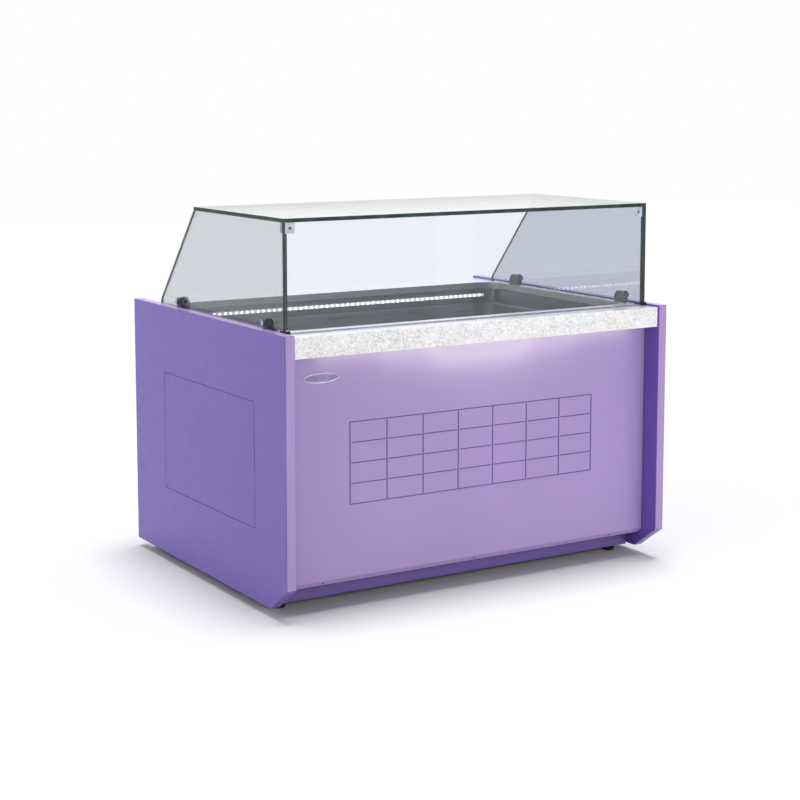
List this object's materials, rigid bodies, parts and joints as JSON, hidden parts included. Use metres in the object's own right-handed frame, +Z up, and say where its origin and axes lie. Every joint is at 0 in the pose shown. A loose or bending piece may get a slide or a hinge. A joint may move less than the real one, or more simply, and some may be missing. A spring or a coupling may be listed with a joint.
{
  "type": "ice cream dipping cabinet",
  "caption": "Refrigerated dipping cabinet: stainless well in a stone worktop under a slanted glass canopy, on a painted body with plain side panels and levelling feet.",
  "frame": {"origin": "on the floor under the middle of the object's box", "axes": "+Z up, +X along the cabinet's length towards the customer's right, +Y towards the operator's side; the customer's side faces -Y"},
  "size_m": [1.34, 1.03, 1.124],
  "materials": {
    "painted_board": "satin",
    "painted_sheet": "satin",
    "painted_sheet_dark": "satin",
    "badge_plate": "gloss",
    "granite": "polished",
    "stainless": "satin",
    "foam_casing": "satin",
    "aluminium": "satin",
    "fin_aluminium": "matte",
    "zinc": "satin",
    "light_diffuser": "satin",
    "glass": "polished",
    "black_rubber": "matte",
    "black_plastic": "satin",
    "key_plastic": "satin",
    "display": "gloss",
    "black_enamel": "satin",
    "copper": "satin",
    "galvanised": "matte"
  },
  "bodies": {
    "cabinet": {"side_panel_left": "painted_board", "side_panel_right": "painted_board", "front_panel": "painted_sheet", "kick_plate": "painted_sheet_dark", "badge": "badge_plate", "countertop": "granite", "well_liner": "stainless", "tank_insulation": "foam_casing", "lamp_profile": "aluminium", "lamp_strip": "light_diffuser", "evaporator": "fin_aluminium", "air_fan_frame": "black_plastic", "drain_outlet": "stainless", "base_plate": "galvanised", "base_rail_front": "galvanised", "base_rail_rear": "galvanised", "glass_front": "glass", "glass_top": "glass", "glass_left": "glass", "glass_right": "glass", "corner_bracket_left": "aluminium", "corner_bracket_right": "aluminium", "glass_shoe_left": "black_rubber", "glass_shoe_right": "black_rubber", "rear_panel": "stainless", "door_hinge_strip": "stainless", "control_plate": "aluminium", "thermostat": "black_plastic", "thermostat_window": "display", "switch_housing": "black_plastic", "power_inlet": "black_plastic", "condenser": "fin_aluminium", "fan_shroud": "galvanised", "fan_motor": "black_enamel", "compressor": "black_enamel", "suction_line": "copper", "hot_gas_line": "copper", "liquid_line": "copper", "condensate_tray": "black_plastic", "clamp_plate_front_left": "zinc", "clamp_block_front_left": "zinc", "clamp_plate_front_right": "zinc", "clamp_block_front_right": "zinc", "clamp_plate_rear_left": "zinc", "clamp_block_rear_left": "zinc", "clamp_plate_rear_right": "zinc", "clamp_block_rear_right": "zinc"},
    "air_fan_rotor": {"air_fan_rotor": "black_plastic"},
    "condenser_fan": {"condenser_fan": "fin_aluminium"},
    "service_door": {"service_door": "stainless", "door_knob": "black_plastic"},
    "power_rocker": {"power_rocker": "black_plastic"},
    "thermostat_key_set": {"thermostat_key_set": "key_plastic"},
    "thermostat_key_up": {"thermostat_key_up": "key_plastic"},
    "thermostat_key_down": {"thermostat_key_down": "key_plastic"},
    "foot_front_left": {"foot_front_left": "black_rubber"},
    "foot_front_right": {"foot_front_right": "black_rubber"},
    "foot_rear_left": {"foot_rear_left": "black_rubber"},
    "foot_rear_right": {"foot_rear_right": "black_rubber"},
    "well_floor": {"well_floor": "stainless"}
  },
  "joints": [
    {"name": "air_fan_spin", "type": "hinge", "parent": "cabinet", "child": "air_fan_rotor", "pos_m": [0, -0.215, 0.529], "axis": [0, 0, 1], "continuous": true},
    {"name": "condenser_fan_spin", "type": "hinge", "parent": "cabinet", "child": "condenser_fan", "pos_m": [0.24, 0.321, 0.205], "axis": [0, 1, 0], "continuous": true},
    {"name": "service_door_hinge", "type": "hinge", "parent": "cabinet", "child": "service_door", "pos_m": [0.5065, 0.48, 0.252], "axis": [0, 0, -1], "range_deg": [0, 105]},
    {"name": "power_rocker_tip", "type": "hinge", "parent": "cabinet", "child": "power_rocker", "pos_m": [0.47, 0.4751, 0.65], "axis": [1, 0, 0], "range_deg": [-14, 0]},
    {"name": "key_set_press", "type": "slide", "parent": "cabinet", "child": "thermostat_key_set", "axis": [0, -1, 0], "range_m": [0, 0.0012], "stiffness_N_per_m": 600, "springref_m": -0.0006},
    {"name": "key_up_press", "type": "slide", "parent": "cabinet", "child": "thermostat_key_up", "axis": [0, -1, 0], "range_m": [0, 0.0012], "stiffness_N_per_m": 600, "springref_m": -0.0006},
    {"name": "key_down_press", "type": "slide", "parent": "cabinet", "child": "thermostat_key_down", "axis": [0, -1, 0], "range_m": [0, 0.0012], "stiffness_N_per_m": 600, "springref_m": -0.0006},
    {"name": "foot_front_left_turn", "type": "hinge", "parent": "cabinet", "child": "foot_front_left", "pos_m": [-0.6, -0.33, 0.02], "axis": [0, 0, 1], "continuous": true},
    {"name": "foot_front_right_turn", "type": "hinge", "parent": "cabinet", "child": "foot_front_right", "pos_m": [0.6, -0.33, 0.02], "axis": [0, 0, 1], "continuous": true},
    {"name": "foot_rear_left_turn", "type": "hinge", "parent": "cabinet", "child": "foot_rear_left", "pos_m": [-0.6, 0.43, 0.02], "axis": [0, 0, 1], "continuous": true},
    {"name": "foot_rear_right_turn", "type": "hinge", "parent": "cabinet", "child": "foot_rear_right", "pos_m": [0.6, 0.43, 0.02], "axis": [0, 0, 1], "continuous": true},
    {"name": "well_floor_lift", "type": "slide", "parent": "cabinet", "child": "well_floor", "axis": [0, 0, 1], "range_m": [0, 0.15]}
  ]
}
